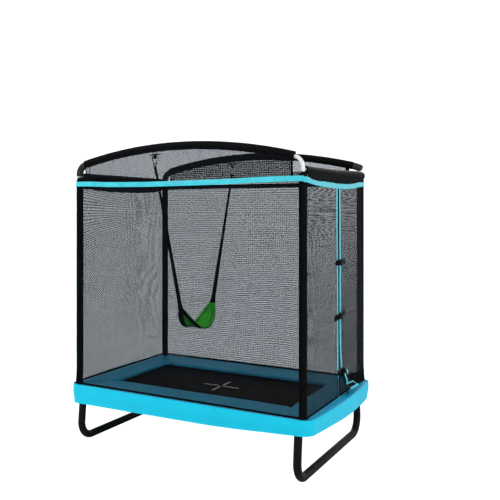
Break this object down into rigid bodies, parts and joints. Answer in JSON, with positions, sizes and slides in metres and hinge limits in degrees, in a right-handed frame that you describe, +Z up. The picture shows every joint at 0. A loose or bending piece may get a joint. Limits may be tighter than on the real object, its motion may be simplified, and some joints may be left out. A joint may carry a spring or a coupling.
{
  "type": "trampoline",
  "caption": "Rectangular children's trampoline with padded edge, skirt, net enclosure with arched top and zip door, and a hanging sling swing.",
  "frame": {"origin": "middle of the footprint on the ground", "axes": "+X along the length towards the door end, +Y towards the back, +Z up"},
  "size_m": [1.9, 1.22, 2.1098],
  "materials": {
    "frame_black": "satin",
    "bare_elbow": "gloss",
    "zinc": "satin",
    "spring_steel": "satin",
    "mat_fabric": "matte",
    "white_tape": "matte",
    "pad_blue": "satin",
    "skirt_blue": "satin",
    "foam_black": "matte",
    "cover_dark": "matte",
    "net_black": "matte",
    "band_blue": "satin",
    "webbing_black": "matte",
    "plastic_black": "satin",
    "seat_green": "satin"
  },
  "bodies": {
    "root": {"leg_left": "frame_black", "leg_right": "frame_black", "corner_joint_fl": "frame_black", "corner_joint_fr": "frame_black", "corner_joint_bl": "frame_black", "corner_joint_br": "frame_black", "rail_front": "frame_black", "rail_back": "frame_black", "rail_left": "frame_black", "rail_right": "frame_black", "frame_bolts": "zinc", "springs": "spring_steel", "safety_pad": "pad_blue", "pad_skirt": "skirt_blue", "post_fl": "frame_black", "post_fr": "frame_black", "post_bl": "frame_black", "post_br": "frame_black", "post_sleeve_fl": "foam_black", "post_sleeve_fr": "foam_black", "post_sleeve_bl": "foam_black", "post_sleeve_br": "foam_black", "elbow_fl": "bare_elbow", "elbow_fr": "bare_elbow", "elbow_bl": "bare_elbow", "elbow_br": "bare_elbow", "elbow_covers": "cover_dark", "elbow_screws": "zinc", "arch_front": "frame_black", "arch_back": "frame_black", "arch_sleeve_front": "foam_black", "arch_sleeve_back": "foam_black", "top_rail_left": "frame_black", "top_rail_right": "frame_black", "top_sleeve_left": "foam_black", "top_sleeve_right": "foam_black", "net_front": "net_black", "net_back": "net_black", "net_left": "net_black", "net_door_front": "net_black", "net_door_back": "net_black", "net_band": "band_blue", "net_ties": "webbing_black", "door_zip": "webbing_black", "door_edging": "band_blue", "door_flaps": "band_blue", "buckle_sockets": "plastic_black", "swing_brackets": "frame_black"},
    "bounce": {"jump_mat": "mat_fabric", "mat_mark": "white_tape", "mat_rings": "zinc"},
    "slider": {"zip_slider": "plastic_black"},
    "plug_high": {"buckle_plug_high": "plastic_black"},
    "plug_low": {"buckle_plug_low": "plastic_black"},
    "swing": {"swing_hooks": "zinc", "swing_webbing": "webbing_black", "swing_seat": "seat_green"},
    "gate_front": {"hook_gate_front": "zinc"},
    "gate_back": {"hook_gate_back": "zinc"}
  },
  "joints": [
    {"name": "mat_bounce", "type": "slide", "parent": "root", "child": "bounce", "axis": [0, 0, 1], "range_m": [-0.2, 0], "stiffness_N_per_m": 4500, "springref_m": 0.015, "deforming": ["springs"]},
    {"name": "swing_hinge", "type": "hinge", "parent": "root", "child": "swing", "pos_m": [-0.20603, 0, 2.01506], "axis": [0, 1, 0], "range_deg": [-25, 25]},
    {"name": "gate_front_hinge", "type": "hinge", "parent": "swing", "child": "gate_front", "pos_m": [-0.19383, -0.565, 1.98206], "axis": [0, 1, 0], "range_deg": [-25, 0], "stiffness_Nm_per_rad": 0.3, "springref_deg": 8.59},
    {"name": "gate_back_hinge", "type": "hinge", "parent": "swing", "child": "gate_back", "pos_m": [-0.19383, 0.565, 1.98206], "axis": [0, 1, 0], "range_deg": [-25, 0], "stiffness_Nm_per_rad": 0.3, "springref_deg": 8.59},
    {"name": "zip_slide", "type": "slide", "parent": "root", "child": "slider", "axis": [0, 0, 1], "range_m": [0, 1.2]},
    {"name": "buckle_high_slide", "type": "slide", "parent": "root", "child": "plug_high", "axis": [0, -1, 0], "range_m": [0, 0.028]},
    {"name": "buckle_low_slide", "type": "slide", "parent": "root", "child": "plug_low", "axis": [0, -1, 0], "range_m": [0, 0.028]}
  ]
}
